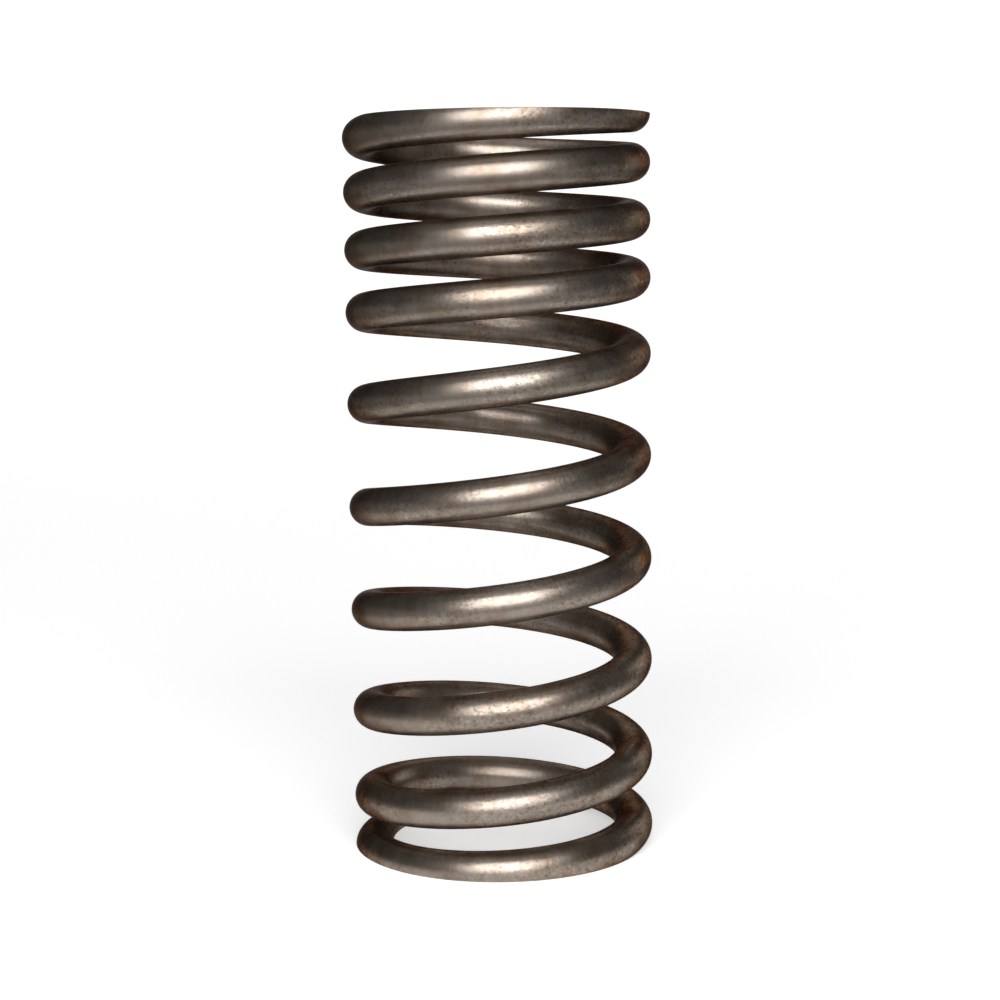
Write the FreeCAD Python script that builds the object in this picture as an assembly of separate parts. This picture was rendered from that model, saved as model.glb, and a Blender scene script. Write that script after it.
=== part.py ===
import FreeCAD, Part
import math
import os

# Valve spring wound right-handed from one round wire. The coils are close towards the
# top and open below, and both ends are closed and ground flat.
# Millimetres, +Z up. The origin is on the coil axis, on the lower ground face.

# Wire and coil
WIRE_DIAMETER = 3.5
OUTER_DIAMETER = 28.0
TURNS = 9.75
UPPER_TIP_HEADING = -3.6

# Free gaps between neighbouring turns, along the axis
CLOSE_GAP = 1.74
OPEN_GAP = 6.06
UPPER_END_GAP = 0.9
LOWER_END_GAP = 0.05

# Turns over which the winding changes, counted along the wire
CLOSE_TURNS = 2.73
OPENING_TURNS = 1.85
UPPER_CLOSING_TURNS = 1.8
LOWER_CLOSING_TURNS = 2.9

# Share of the wire's thickness that grinding leaves at each tip
UPPER_TIP_SHARE = 0.48
LOWER_TIP_SHARE = 0.34

# Pairs of arcs that follow one turn of the wire
ARC_PAIRS_PER_TURN = 4

COIL_RADIUS = (OUTER_DIAMETER - WIRE_DIAMETER) / 2
CLOSE_PITCH = WIRE_DIAMETER + CLOSE_GAP
OPEN_PITCH = WIRE_DIAMETER + OPEN_GAP


def opened(turns):
    """Turns wound at the open pitch, through a smooth change from the close one."""
    x = (turns - CLOSE_TURNS) / OPENING_TURNS
    if x <= 0:
        return 0.0
    if x >= 1:
        return OPENING_TURNS * (x - 0.5)
    return OPENING_TURNS * (x ** 3 - x ** 4 / 2)


def closed(turns, span):
    """Turns lost to closing within so many turns of a tip that closes over a span."""
    left = 1 - min(turns, span) / span
    return span / 3 * (1 - left ** 3)


def shortfall(pitch, end_gap, span):
    """Pitch that a tip lacks, so that end_gap lies between its turn and the next."""
    return (pitch - WIRE_DIAMETER - end_gap) / closed(1, span)


def drop(turns):
    """Height that the centreline has lost after so many turns from the upper tip."""
    upper = shortfall(CLOSE_PITCH, UPPER_END_GAP, UPPER_CLOSING_TURNS)
    lower = shortfall(OPEN_PITCH, LOWER_END_GAP, LOWER_CLOSING_TURNS)
    height = CLOSE_PITCH * turns + (OPEN_PITCH - CLOSE_PITCH) * opened(turns)
    height -= upper * closed(turns, UPPER_CLOSING_TURNS)
    whole = closed(TURNS, LOWER_CLOSING_TURNS)
    return height - lower * (whole - closed(TURNS - turns, LOWER_CLOSING_TURNS))


def centre(turns):
    """Point of the wire's centre so many turns below the upper tip."""
    angle = math.radians(UPPER_TIP_HEADING - 360 * turns)
    x = COIL_RADIUS * math.cos(angle)
    y = COIL_RADIUS * math.sin(angle)
    return FreeCAD.Vector(x, y, -drop(turns))


def heading(turns):
    """Direction of the wire there, from a very short chord."""
    step = 1e-4
    return (centre(turns + step) - centre(turns - step)).normalize()


def arc(start, corner, end):
    """Arc that leaves start towards the corner and comes into end from it."""
    half = start.distanceToPoint(end) / 2
    leg = start.distanceToPoint(corner)
    middle = (start + end) * 0.5
    crown = middle + (corner - middle) * (half / (leg + half))
    return Part.Arc(start, crown, end).toShape()


def arc_pair(upper, lower):
    """Two arcs, tangent to each other, that join two places on the centreline."""
    start = centre(upper)
    end = centre(lower)
    leaving = heading(upper)
    arriving = heading(lower)
    chord = end - start
    bend = 1 - leaving.dot(arriving)
    reach = chord.dot(leaving + arriving)
    leg = (math.sqrt(reach ** 2 + 2 * bend * chord.dot(chord)) - reach) / (2 * bend)
    first_corner = start + leaving * leg
    second_corner = end - arriving * leg
    joint = (first_corner + second_corner) * 0.5
    return [arc(start, first_corner, joint), arc(joint, second_corner, end)]


def wound_wire():
    """Round wire swept along the chain of arcs, with square-cut ends."""
    count = math.ceil(TURNS * ARC_PAIRS_PER_TURN)
    arcs = []
    for i in range(count):
        arcs += arc_pair(TURNS * i / count, TURNS * (i + 1) / count)
    section = Part.Circle(centre(0), heading(0), WIRE_DIAMETER / 2)
    path = Part.Wire(arcs)
    return path.makePipeShell([Part.Wire([section.toShape()])], True, True)


def valve_spring():
    """Wound wire with both ends ground flat, standing on the lower face."""
    top = WIRE_DIAMETER * (UPPER_TIP_SHARE - 0.5)
    bottom = -drop(TURNS) - WIRE_DIAMETER * (LOWER_TIP_SHARE - 0.5)
    base = FreeCAD.Vector(0, 0, bottom)
    kept = Part.makeCylinder(OUTER_DIAMETER, top - bottom, base)
    spring = wound_wire().common(kept).Solids[0]
    spring.translate(FreeCAD.Vector(0, 0, -bottom))
    return spring


os.makedirs("parts", exist_ok=True)
valve_spring().exportStep("parts/valve_spring.step")
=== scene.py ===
import logging
import math
from dataclasses import dataclass
from enum import Enum

import bmesh
import bpy
import numpy as np
from mathutils import Matrix, Vector


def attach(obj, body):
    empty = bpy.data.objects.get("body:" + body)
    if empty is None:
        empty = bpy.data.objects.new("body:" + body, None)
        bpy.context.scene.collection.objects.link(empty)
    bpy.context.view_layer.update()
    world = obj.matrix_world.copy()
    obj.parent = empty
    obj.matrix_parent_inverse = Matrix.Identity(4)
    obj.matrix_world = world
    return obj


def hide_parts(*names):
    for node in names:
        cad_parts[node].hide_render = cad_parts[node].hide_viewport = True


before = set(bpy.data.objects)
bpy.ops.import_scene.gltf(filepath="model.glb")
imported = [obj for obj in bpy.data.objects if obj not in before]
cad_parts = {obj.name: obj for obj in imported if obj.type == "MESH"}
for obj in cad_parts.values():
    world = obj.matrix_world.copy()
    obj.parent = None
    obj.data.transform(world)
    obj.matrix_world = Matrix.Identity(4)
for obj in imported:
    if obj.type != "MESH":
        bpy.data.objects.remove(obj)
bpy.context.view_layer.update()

# A valve spring wound right-handed from round wire, dark and oil-tempered. Its coils
# are close at the top and open below, and both ends are closed and ground flat.
# The winding is given in millimetres and turns, and the meshes are made in metres.

MM = 0.001
BODY = "root"
NODE = "valve_spring"

Colour = tuple[float, float, float]
Point = tuple[float, float, float]
Socket = bpy.types.NodeSocket

# Sockets of the node that mixes two colours, which shares its names with other kinds
FIRST_COLOUR = 6
SECOND_COLOUR = 7
MIXED_COLOUR = 2

log = logging.getLogger("valve_spring")


class Face(Enum):
    """The surfaces of the spring, numbered as its materials are."""

    SKIN = 0
    GROUND = 1
    SHEARED = 2


@dataclass(frozen=True)
class Winding:
    """The line that the wire is wound on, in millimetres, degrees and turns.

    The gaps lie between neighbouring turns, and the shares are what grinding leaves of
    the wire's thickness at its tips.
    """

    wire_diameter: float = 3.5
    outer_diameter: float = 28.0
    turns: float = 9.75
    upper_tip_heading: float = -3.6
    close_gap: float = 1.74
    open_gap: float = 6.06
    upper_end_gap: float = 0.9
    lower_end_gap: float = 0.05
    close_turns: float = 2.73
    opening_turns: float = 1.85
    upper_closing_turns: float = 1.8
    lower_closing_turns: float = 2.9
    upper_tip_share: float = 0.48
    lower_tip_share: float = 0.34

    @property
    def coil_radius(self) -> float:
        """Radius of the wire's centreline."""
        return (self.outer_diameter - self.wire_diameter) / 2

    @property
    def close_pitch(self) -> float:
        """Rise of one turn among the close coils."""
        return self.wire_diameter + self.close_gap

    @property
    def open_pitch(self) -> float:
        """Rise of one turn among the open coils."""
        return self.wire_diameter + self.open_gap

    def opened(self, turns: np.ndarray) -> np.ndarray:
        """Count the turns wound at the open pitch.

        Args:
            turns: Turns from the upper tip.

        Returns:
            Turns at the open pitch, through a smooth change from the close one.
        """
        x = np.clip((turns - self.close_turns) / self.opening_turns, 0, 1)
        beyond = np.maximum(turns - self.close_turns - self.opening_turns, 0)
        return self.opening_turns * (x**3 - x**4 / 2) + beyond

    def closed(self, turns: np.ndarray, span: float) -> np.ndarray:
        """Count the turns lost to closing an end.

        Args:
            turns: Turns from the tip that closes.
            span: Turns over which it closes.

        Returns:
            Turns lost so far.
        """
        left = 1 - np.minimum(turns, span) / span
        return span / 3 * (1 - left**3)

    def shortfall(self, pitch: float, end_gap: float, span: float) -> float:
        """Pitch that a tip lacks, so that end_gap lies between its turn and the next."""
        return (pitch - self.wire_diameter - end_gap) / float(self.closed(1.0, span))

    def drop(self, turns: np.ndarray) -> np.ndarray:
        """Find the height that the centreline has lost.

        Args:
            turns: Turns from the upper tip.

        Returns:
            Height below the upper tip's centre.
        """
        upper = self.shortfall(self.close_pitch, self.upper_end_gap, self.upper_closing_turns)
        lower = self.shortfall(self.open_pitch, self.lower_end_gap, self.lower_closing_turns)
        whole = self.closed(self.turns, self.lower_closing_turns)
        height = self.close_pitch * turns
        height = height + (self.open_pitch - self.close_pitch) * self.opened(turns)
        height = height - upper * self.closed(turns, self.upper_closing_turns)
        return height - lower * (whole - self.closed(self.turns - turns, self.lower_closing_turns))

    @property
    def floor(self) -> float:
        """Height of the lower ground face below the upper tip's centre."""
        fall = float(self.drop(np.float64(self.turns)))
        return -fall - self.wire_diameter * (self.lower_tip_share - 0.5)

    @property
    def height(self) -> float:
        """Free height between the two ground faces."""
        return self.wire_diameter * (self.upper_tip_share - 0.5) - self.floor

    def centres(self, turns: np.ndarray) -> np.ndarray:
        """Place the wire's centre.

        Args:
            turns: Turns from the upper tip.

        Returns:
            One point in each row, with the lower ground face at height zero.
        """
        angle = np.radians(self.upper_tip_heading - 360 * turns)
        x = self.coil_radius * np.cos(angle)
        y = self.coil_radius * np.sin(angle)
        return np.stack([x, y, -self.drop(turns) - self.floor], axis=-1)

    def outward(self, turns: np.ndarray) -> np.ndarray:
        """Directions from the coil axis to the wire's centre, one in each row."""
        angle = np.radians(self.upper_tip_heading - 360 * turns)
        return np.stack([np.cos(angle), np.sin(angle), np.zeros_like(angle)], axis=-1)

    def along(self, turns: np.ndarray) -> np.ndarray:
        """Find the way the wire runs, from very short chords.

        Args:
            turns: Turns from the upper tip.

        Returns:
            Directions down the wire, one in each row.
        """
        step = 1e-4
        chord = self.centres(turns + step) - self.centres(turns - step)
        return chord / np.linalg.norm(chord, axis=-1, keepdims=True)


@dataclass(frozen=True)
class Ramp:
    """An even change from start at low to end at high, held beyond both."""

    low: float
    high: float
    start: float = 0.0
    end: float = 1.0


@dataclass(frozen=True)
class Mottle:
    """Noise: its spots in a unit of length, its finer layers and how strong they are."""

    scale: float = 1.0
    layers: float = 2.0
    strength: float = 0.5


class Sheet:
    """The node tree of a material or world, with short ways to add and join nodes."""

    def __init__(self, owner: bpy.types.Material | bpy.types.World) -> None:
        """Start with an empty tree.

        Args:
            owner: Material or world that the tree belongs to.
        """
        self.owner = owner
        owner.use_nodes = True
        self.tree = owner.node_tree
        self.tree.nodes.clear()

    @classmethod
    def of(cls, name: str) -> "Sheet":
        """Start the sheet of a new material of that name."""
        return cls(bpy.data.materials.new(name))

    def add(self, kind: str, inputs: dict | None = None, **settings: object) -> bpy.types.Node:
        """Add a node.

        Args:
            kind: Type of the node, without the words ShaderNode.
            inputs: Values or sockets for its inputs, by name or number.
            **settings: Values of the node's own properties.

        Returns:
            The new node.
        """
        node = self.tree.nodes.new("ShaderNode" + kind)
        for key, value in settings.items():
            setattr(node, key, value)
        for key, value in (inputs or {}).items():
            if isinstance(value, Socket):
                self.tree.links.new(value, node.inputs[key])
            else:
                node.inputs[key].default_value = value
        return node

    def wire_place(self, stretch: Point = (1, 1, 1)) -> Socket:
        """Read where on the wire a point is.

        Args:
            stretch: Factors for the length along the wire and the two across it.

        Returns:
            Millimetres along the wire and across it, multiplied by the factors.
        """
        place = self.add("Attribute", attribute_name="wire_at", attribute_type="GEOMETRY")
        return self.scaled(place.outputs["Vector"], stretch)

    def scaled(self, value: Socket | Colour, factor: Socket | Point) -> Socket:
        """Multiply a place or a colour by a factor, or by one for each of its parts."""
        made = self.add("VectorMath", {0: value, 1: factor}, operation="MULTIPLY")
        return made.outputs["Vector"]

    def noise(self, place: Socket, mottle: Mottle) -> Socket:
        """Noise from 0 to 1, even in all directions of the place that it is given."""
        inputs = {"Scale": mottle.scale, "Detail": mottle.layers, "Roughness": mottle.strength}
        return self.add("TexNoise", {"Vector": place, **inputs}).outputs["Fac"]

    def ranged(self, value: Socket, ramp: Ramp) -> Socket:
        """Map a value through a ramp.

        Args:
            value: What is mapped.
            ramp: The change that it goes through.

        Returns:
            The mapped value.
        """
        inputs = {
            "Value": value,
            "From Min": ramp.low,
            "From Max": ramp.high,
            "To Min": ramp.start,
            "To Max": ramp.end,
        }
        return self.add("MapRange", inputs, clamp=True).outputs["Result"]

    def maths(self, operation: str, first: Socket | float, second: Socket | float) -> Socket:
        """Result of one sum on two values."""
        return self.add("Math", {0: first, 1: second}, operation=operation).outputs[0]

    def blend(self, share: Socket, first: Socket | Colour, second: Socket | Colour) -> Socket:
        """Blend two colours.

        Args:
            share: How much of the second colour shows.
            first: Colour at a share of 0.
            second: Colour at a share of 1.

        Returns:
            The blended colour.
        """
        pair = [value if isinstance(value, Socket) else (*value, 1) for value in (first, second)]
        inputs = {0: share, FIRST_COLOUR: pair[0], SECOND_COLOUR: pair[1]}
        return self.add("Mix", inputs, data_type="RGBA").outputs[MIXED_COLOUR]

    def bump(self, height: Socket, depth: float, below: Socket | None = None) -> Socket:
        """Raise a height over the surface.

        Args:
            height: Height from 0 to 1.
            depth: What a height of 1 stands for, in millimetres.
            below: Surface direction that it is added to.

        Returns:
            The new surface direction.
        """
        inputs = {"Height": height, "Distance": depth * MM, "Strength": 1.0}
        if below is not None:
            inputs["Normal"] = below
        return self.add("Bump", inputs).outputs[0]

    def finish(self, inputs: dict) -> bpy.types.Material:
        """Close the sheet with a metal shader.

        Args:
            inputs: Values or sockets for the shader's inputs, by name.

        Returns:
            The material.
        """
        shader = self.add("BsdfPrincipled", inputs)
        self.add("OutputMaterial", {"Surface": shader.outputs[0]})
        return self.owner


@dataclass(frozen=True)
class TemperedSkin:
    """Dark oil-tempered skin of the wire, with brown oxide, small pits, and bright spots in
    the grain that are painted glints.

    Noise is in spots for each millimetre of wire and depths are in millimetres. Only
    side_wear_and_glint is in metres, to the right of the spring's axis.
    """

    name: str = "oil_tempered_wire"
    steel: Colour = (0.285, 0.242, 0.206)
    oxide: Colour = (0.18, 0.122, 0.08)
    # Edge tint of the reflection: partly the oxide's own brown, and so dark that it paints shade onto the
    # wire's edges as seen.
    edge_tint_and_painted_shade: Colour = (0.09, 0.035, 0.012)
    patches: Mottle = Mottle(0.42, 4, 0.6)
    patch_oxide: Ramp = Ramp(0.45, 0.75, 0.0, 0.85)
    clouds: Mottle = Mottle(0.16, 3)
    cloud_tone: Ramp = Ramp(0.3, 0.7, 0.86, 1.13)
    wear: Mottle = Mottle(0.11)
    side_wear_and_glint: Ramp = Ramp(0.002, 0.012, 0.0, 0.2)
    wear_and_glint_share: Ramp = Ramp(0.4, 0.62, 0.15, 1.0)
    grain: Mottle = Mottle(3.2, 3, 0.65)
    grain_rough: Ramp = Ramp(0.3, 0.7, 0.41, 0.31)
    grain_depth: float = 0.02
    pits: Ramp = Ramp(0.34, 0.46, 1.0, 0.0)
    pit_tone: float = 0.55
    # Bright spots in the grain where wear is high: painted glints that lighten the colour.
    painted_glints: Ramp = Ramp(0.58, 0.66)
    painted_glint_tone: float = 1.45
    bands: Mottle = Mottle(1.0, 3, 0.6)
    bands_stretch: Point = (2.6, 0.25, 0.25)
    band_tone: Ramp = Ramp(0.3, 0.7, 0.95, 1.05)
    band_rough: Ramp = Ramp(0.3, 0.7, -0.015, 0.015)
    die_lines: Mottle = Mottle()
    die_stretch: Point = (0.06, 5.0, 5.0)
    die_depth: float = 0.004
    fine: Mottle = Mottle(8.0, 2, 0.6)
    fine_depth: float = 0.007

    def wear_and_glint_at(self, sheet: Sheet, place: Socket) -> Socket:
        """Find the share of wear, more on the spring's right side, which also places the painted glints.

        Args:
            sheet: Sheet of the material.
            place: Place on the wire.

        Returns:
            Share of the full wear.
        """
        at = sheet.add("SeparateXYZ", {0: sheet.add("TexCoord").outputs["Object"]})
        side = sheet.ranged(at.outputs["X"], self.side_wear_and_glint)
        wear = sheet.maths("ADD", sheet.noise(place, self.wear), side)
        return sheet.ranged(wear, self.wear_and_glint_share)

    def colour_at(self, sheet: Sheet, place: Socket, grain: Socket, wear_and_glint: Socket, bands: Socket) -> Socket:
        """Colour the skin: steel with oxide, clouds and bands, then pits and painted glints.

        Args:
            sheet: Sheet of the material.
            place: Place on the wire.
            grain: Noise of the grain.
            wear_and_glint: Share of the full wear.
            bands: Noise of the bands across the wire.

        Returns:
            The colour.
        """
        oxide = sheet.ranged(sheet.noise(place, self.patches), self.patch_oxide)
        colour = sheet.blend(oxide, self.steel, self.oxide)
        clouds = sheet.noise(place, self.clouds)
        colour = sheet.scaled(colour, sheet.ranged(clouds, self.cloud_tone))
        colour = sheet.scaled(colour, sheet.ranged(bands, self.band_tone))
        # Pits darken the colour; the bright spots lighten it, as painted glints.
        for spots, tone in ((self.pits, self.pit_tone), (self.painted_glints, self.painted_glint_tone)):
            share = sheet.maths("MULTIPLY", sheet.ranged(grain, spots), wear_and_glint)
            colour = sheet.scaled(colour, sheet.ranged(share, Ramp(0, 1, 1.0, tone)))
        return colour

    def material(self) -> bpy.types.Material:
        """Make the material.

        Returns:
            Oil-tempered steel, pitted by wear and with painted glints, more on the spring's right side.
        """
        sheet = Sheet.of(self.name)
        place = sheet.wire_place()
        wear_and_glint = self.wear_and_glint_at(sheet, place)
        grain = sheet.noise(place, self.grain)
        bands = sheet.noise(sheet.wire_place(self.bands_stretch), self.bands)
        die_lines = sheet.noise(sheet.wire_place(self.die_stretch), self.die_lines)

        rough = sheet.ranged(grain, self.grain_rough)
        rough = sheet.maths("ADD", rough, sheet.ranged(bands, self.band_rough))
        normal = sheet.bump(die_lines, self.die_depth)
        normal = sheet.bump(sheet.maths("MULTIPLY", grain, wear_and_glint), self.grain_depth, normal)
        normal = sheet.bump(sheet.noise(place, self.fine), self.fine_depth, normal)
        return sheet.finish({
            "Base Color": self.colour_at(sheet, place, grain, wear_and_glint, bands),
            "Metallic": 1.0,
            "Roughness": rough,
            # The dark edge tint paints shade onto the wire's edges.
            "Specular Tint": (*self.edge_tint_and_painted_shade, 1),
            "Normal": normal,
        })


@dataclass(frozen=True)
class GroundFlat:
    """Ground face of an end: bare steel with the wheel's marks.

    Noise is in spots for each metre and the depth is in millimetres.
    """

    name: str = "ground_steel"
    steel: Colour = (0.29, 0.265, 0.24)
    stain: Colour = (0.15, 0.115, 0.09)
    stains: Mottle = Mottle(420.0, 3)
    stain_share: Ramp = Ramp(0.45, 0.7, 0.0, 0.8)
    marks: Mottle = Mottle(1.0, 3, 0.6)
    marks_stretch: Point = (420, 5200, 420)
    mark_tone: Ramp = Ramp(0.3, 0.7, 0.68, 1.25)
    mark_rough: Ramp = Ramp(0.3, 0.7, 0.5, 0.64)
    mark_depth: float = 0.004

    def material(self) -> bpy.types.Material:
        """Make the material.

        Returns:
            Bare ground steel, with stains.
        """
        sheet = Sheet.of(self.name)
        at = sheet.add("TexCoord").outputs["Object"]
        marks = sheet.noise(sheet.scaled(at, self.marks_stretch), self.marks)
        stained = sheet.ranged(sheet.noise(at, self.stains), self.stain_share)
        colour = sheet.blend(stained, self.steel, self.stain)
        return sheet.finish({
            "Base Color": sheet.scaled(colour, sheet.ranged(marks, self.mark_tone)),
            "Metallic": 1.0,
            "Roughness": sheet.ranged(marks, self.mark_rough),
            "Normal": sheet.bump(marks, self.mark_depth),
        })


@dataclass(frozen=True)
class ShearedFace:
    """End of the wire where it was cut off: coarse and dark, with sizes in millimetres."""

    name: str = "sheared_steel"
    steel: Colour = (0.19, 0.155, 0.125)
    tears: Mottle = Mottle(1.0, 4, 0.6)
    tears_stretch: Point = (1.0, 0.8, 4.0)
    tear_tone: Ramp = Ramp(0.3, 0.7, 0.55, 1.3)
    tear_rough: Ramp = Ramp(0.3, 0.7, 0.4, 0.6)
    tear_depth: float = 0.08

    def material(self) -> bpy.types.Material:
        """Make the material.

        Returns:
            Torn dark steel.
        """
        sheet = Sheet.of(self.name)
        tears = sheet.noise(sheet.wire_place(self.tears_stretch), self.tears)
        return sheet.finish({
            "Base Color": sheet.scaled(self.steel, sheet.ranged(tears, self.tear_tone)),
            "Metallic": 1.0,
            "Roughness": sheet.ranged(tears, self.tear_rough),
            "Normal": sheet.bump(tears, self.tear_depth),
        })


@dataclass(frozen=True)
class WoundWire:
    """The whole spring: a round wire wound on its line and ground at both ends."""

    name: str = "valve_spring_wire"
    winding: Winding = Winding()
    rings_per_turn: int = 160
    points_around: int = 44
    cut_tolerance: float = 1e-8
    skin: TemperedSkin = TemperedSkin()
    ground: GroundFlat = GroundFlat()
    sheared: ShearedFace = ShearedFace()

    def rings(self) -> tuple[np.ndarray, np.ndarray]:
        """Lay out the skin's points.

        Returns:
            Points in millimetres and their places on the wire, each indexed by ring
            and by point around it.
        """
        count = round(self.winding.turns * self.rings_per_turn)
        turns = np.linspace(0, self.winding.turns, count + 1)
        around = np.linspace(0, 2 * math.pi, self.points_around, endpoint=False)
        centres = self.winding.centres(turns)
        outward = self.winding.outward(turns)
        upward = np.cross(outward, self.winding.along(turns))
        radius = self.winding.wire_diameter / 2
        side = np.cos(around)[None, :, None] * outward[:, None, :]
        rise = np.sin(around)[None, :, None] * upward[:, None, :]
        points = centres[:, None, :] + radius * (side + rise)
        steps = np.linalg.norm(np.diff(centres, axis=0), axis=1)
        length = np.concatenate([[0.0], np.cumsum(steps)])
        places = np.empty_like(points)
        places[:, :, 0] = length[:, None]
        places[:, :, 1] = radius * np.cos(around)
        places[:, :, 2] = radius * np.sin(around)
        return points, places

    def wound(self) -> bmesh.types.BMesh:
        """Make the wound wire with its two sheared ends.

        Returns:
            The closed mesh, in metres.
        """
        points, places = self.rings()
        mesh = bmesh.new()
        wire_at = mesh.verts.layers.float_vector.new("wire_at")
        rings = []
        for ring, row in zip(points, places):
            verts = []
            for point, place in zip(ring, row):
                vert = mesh.verts.new(point * MM)
                vert[wire_at] = place
                verts.append(vert)
            rings.append(verts)
        for first, second in zip(rings, rings[1:]):
            for i, vert in enumerate(first):
                j = (i + 1) % len(first)
                face = mesh.faces.new([vert, first[j], second[j], second[i]])
                face.smooth = True
        for end in (rings[0], rings[-1]):
            mesh.faces.new(end).material_index = Face.SHEARED.value
        return mesh

    def grind(self, mesh: bmesh.types.BMesh, height: float, side: int) -> None:
        """Grind one end flat.

        Args:
            mesh: The wound wire, which is changed.
            height: Height of the ground face, in millimetres.
            side: 1 to take off what is above it and -1 what is below.
        """
        cut = bmesh.ops.bisect_plane(
            mesh,
            geom=[*mesh.verts, *mesh.edges, *mesh.faces],
            dist=self.cut_tolerance,
            plane_co=(0, 0, height * MM),
            plane_no=(0, 0, side),
            clear_outer=True,
        )
        rim = [item for item in cut["geom_cut"] if isinstance(item, bmesh.types.BMEdge)]
        made = bmesh.ops.triangle_fill(mesh, edges=rim, use_beauty=False, normal=(0, 0, side))
        for face in made["geom"]:
            if isinstance(face, bmesh.types.BMFace):
                face.material_index = Face.GROUND.value
                face.smooth = False

    def build(self) -> bpy.types.Object:
        """Make the spring's mesh and dress it.

        Returns:
            The spring, in the scene.
        """
        mesh = self.wound()
        self.grind(mesh, self.winding.height, 1)
        self.grind(mesh, 0.0, -1)
        bmesh.ops.recalc_face_normals(mesh, faces=mesh.faces)
        for edge in mesh.edges:
            kinds = {face.material_index for face in edge.link_faces}
            edge.smooth = len(kinds) == 1
        data = bpy.data.meshes.new(self.name)
        mesh.to_mesh(data)
        mesh.free()
        for finish in (self.skin, self.ground, self.sheared):
            data.materials.append(finish.material())
        spring = bpy.data.objects.new(self.name, data)
        bpy.context.scene.collection.objects.link(spring)
        return spring


@dataclass(frozen=True)
class Softbox:
    """A soft lamp, in metres and watts, and the point that it faces."""

    name: str
    at: Point
    aim: Point
    width: float
    height: float
    watts: float

    def hang(self) -> None:
        """Hang the lamp where the camera doesn't see it."""
        data = bpy.data.lights.new(self.name, "AREA")
        data.shape = "RECTANGLE"
        data.size = self.width
        data.size_y = self.height
        data.energy = self.watts
        lamp = bpy.data.objects.new(self.name, data)
        lamp.location = self.at
        facing = Vector(self.aim) - Vector(self.at)
        lamp.rotation_euler = facing.to_track_quat("-Z", "Y").to_euler()
        lamp.visible_camera = False
        bpy.context.scene.collection.objects.link(lamp)


@dataclass(frozen=True)
class Paper:
    """Pale paper, white in a wedge behind the spring.

    The wedge's point lies in front of the spring by apex, and side_edge is the slope at
    which it fades. Places are in metres from the spring.
    """

    floor_tone: float = 0.35
    white_tone: float = 0.7
    front_edge: Ramp = Ramp(-0.062, -0.044)
    apex: float = 0.2
    side_edge: Ramp = Ramp(0.25, 0.38, 1.0, 0.0)
    white_lift: Ramp = Ramp(0.0, 0.6, 0.46, 0.95)
    outer_lift: Ramp = Ramp(0.12, 0.6, 0.0, 0.24)

    def material(self, name: str) -> bpy.types.Material:
        """Make the material.

        Args:
            name: Name of the material.

        Returns:
            The material, which adds its white only where the camera, a reflection or
            a clear body looks, and not as light.
        """
        sheet = Sheet.of(name)
        place = sheet.add("TexCoord").outputs["Object"]
        at = sheet.add("SeparateXYZ", {0: place})
        depth = at.outputs["Y"]
        aside = sheet.maths("ABSOLUTE", at.outputs["X"], 0.0)
        slope = sheet.maths("DIVIDE", aside, sheet.maths("ADD", depth, self.apex))
        front = sheet.ranged(depth, self.front_edge)
        white = sheet.maths("MULTIPLY", front, sheet.ranged(slope, self.side_edge))
        lift = sheet.maths("MULTIPLY", white, sheet.ranged(depth, self.white_lift))
        away = sheet.add("VectorMath", {0: place}, operation="LENGTH").outputs["Value"]
        lift = sheet.maths("MAXIMUM", lift, sheet.ranged(away, self.outer_lift))
        path = sheet.add("LightPath")
        seen = sheet.maths("MAXIMUM", path.outputs["Is Camera Ray"], path.outputs["Is Glossy Ray"])
        seen = sheet.maths("MAXIMUM", seen, path.outputs["Is Transmission Ray"])
        tone = sheet.ranged(white, Ramp(0, 1, self.floor_tone, self.white_tone))
        matt = sheet.add("BsdfDiffuse", {"Color": tone})
        strength = sheet.maths("MULTIPLY", lift, seen)
        glow = sheet.add("Emission", {"Color": (1, 1, 1, 1), "Strength": strength})
        both = sheet.add("AddShader", {0: matt.outputs[0], 1: glow.outputs[0]})
        sheet.add("OutputMaterial", {"Surface": both.outputs[0]})
        return sheet.owner


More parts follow.
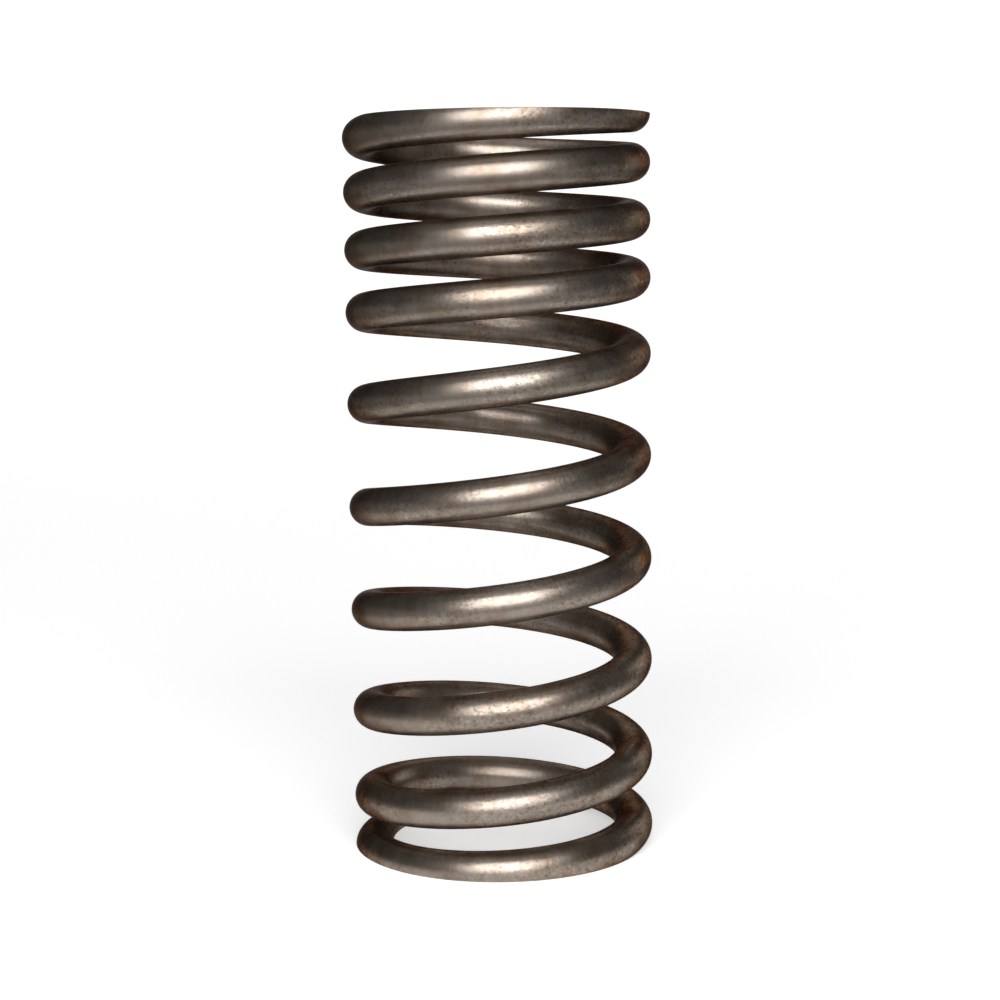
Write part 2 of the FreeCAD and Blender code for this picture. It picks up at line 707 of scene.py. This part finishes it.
@dataclass(frozen=True)
class Studio:
    """Pale floor, sweep behind the spring, even air and soft lamps, in metres."""

    paper: Paper = Paper()
    floor_size: float = 6.0
    sweep_start: float = 0.85
    sweep_bend: float = 0.3
    sweep_steps: int = 24
    sweep_foot: float = 0.0005
    sweep_height: float = 1.0
    sweep_width: float = 0.76
    air_glow: Ramp = Ramp(0.0, 0.2, 0.27, 0.075)
    lamps: tuple[Softbox, ...] = (
        Softbox("front_softbox", (0, -0.41, 0.25), (0, -0.01, 0.04), 0.44, 0.42, 3.7),
        Softbox("rim_softbox", (0.42, 0.42, 0.1), (0, 0, 0.034), 0.25, 0.4, 0.5),
        Softbox("top_softbox", (0, 0.1, 0.6), (0, 0, 0.03), 0.5, 0.5, 0.6),
    )

    def surroundings(self) -> None:
        """Light the scene from all round, a little more from near the horizon."""
        world = bpy.data.worlds.new("studio_air")
        bpy.context.scene.world = world
        sheet = Sheet(world)
        at = sheet.add("SeparateXYZ", {0: sheet.add("TexCoord").outputs["Generated"]})
        rise = sheet.maths("ABSOLUTE", at.outputs["Z"], 0.0)
        glow = sheet.ranged(rise, self.air_glow)
        air = sheet.add("Background", {"Color": (1, 1, 1, 1), "Strength": glow})
        sheet.add("OutputWorld", {"Surface": air.outputs[0]})

    def lay(self, name: str, points: list[Point], faces: list[tuple[int, ...]], smooth: bool) -> None:
        """Add one sheet of paper that is not a part of the spring.

        Args:
            name: Name of the sheet.
            points: Its corners.
            faces: Its faces.
            smooth: Whether it is shaded as one curved surface.
        """
        data = bpy.data.meshes.new(name)
        data.from_pydata(points, [], faces)
        data.polygons.foreach_set("use_smooth", [smooth] * len(faces))
        data.materials.append(self.paper.material(name))
        laid = bpy.data.objects.new(name, data)
        bpy.context.scene.collection.objects.link(laid)

    def floor(self) -> None:
        """Lay the floor."""
        half = self.floor_size / 2
        corners = [(-half, -half, 0), (half, -half, 0), (half, half, 0), (-half, half, 0)]
        self.lay("floor", corners, [(0, 1, 2, 3)], False)

    def sweep(self) -> None:
        """Stand the sweep behind the spring, with a curved foot just above the floor."""
        line = []
        for i in range(self.sweep_steps + 1):
            turn = math.pi / 2 * i / self.sweep_steps
            depth = self.sweep_start + self.sweep_bend * math.sin(turn)
            line.append((depth, self.sweep_foot + self.sweep_bend * (1 - math.cos(turn))))
        line.append((self.sweep_start + self.sweep_bend, self.sweep_height))
        half = self.sweep_width / 2
        points = [(side * half, depth, rise) for depth, rise in line for side in (-1, 1)]
        faces = [(2 * i, 2 * i + 1, 2 * i + 3, 2 * i + 2) for i in range(len(line) - 1)]
        self.lay("sweep", points, faces, True)

    def build(self) -> None:
        """Set up the whole studio."""
        self.surroundings()
        self.floor()
        self.sweep()
        for lamp in self.lamps:
            lamp.hang()


@dataclass(frozen=True)
class Viewpoint:
    """Camera at the photograph's angle, in radians and metres.

    The film is in millimetres, and the focal length is given in widths of the film.
    """

    at: Point = (-0.00003, -0.19745, 0.05720)
    down: float = 0.1254
    roll: float = -0.0120
    focal: float = 2.14183
    film: float = 36.0
    nearest: float = 0.005
    farthest: float = 20.0

    def build(self) -> None:
        """Set up the camera."""
        level = Vector((1, 0, 0))
        upright = Vector((0, math.sin(self.down), math.cos(self.down)))
        ahead = Vector((0, math.cos(self.down), -math.sin(self.down)))
        right = level * math.cos(self.roll) + upright * math.sin(self.roll)
        up = upright * math.cos(self.roll) - level * math.sin(self.roll)
        data = bpy.data.cameras.new("viewpoint")
        data.sensor_fit = "HORIZONTAL"
        data.sensor_width = self.film
        data.lens = self.focal * self.film
        data.clip_start = self.nearest
        data.clip_end = self.farthest
        camera = bpy.data.objects.new("viewpoint", data)
        turned = Matrix((right, up, -ahead)).transposed().to_4x4()
        camera.matrix_world = Matrix.Translation(self.at) @ turned
        bpy.context.scene.collection.objects.link(camera)
        bpy.context.scene.camera = camera


def main() -> None:
    """Build the spring, then the studio around it, and note its size."""
    logging.basicConfig(level=logging.INFO, format="%(name)s: %(message)s")
    wire = WoundWire()
    spring = wire.build()
    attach(spring, BODY)
    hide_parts(NODE)
    triangles = sum(len(face.vertices) - 2 for face in spring.data.polygons)
    log.info("%s: %.3f mm high, %d triangles", spring.name, wire.winding.height, triangles)
    Studio().build()
    Viewpoint().build()
    bpy.context.scene.view_settings.view_transform = "Standard"


if __name__ == "__main__":
    main()
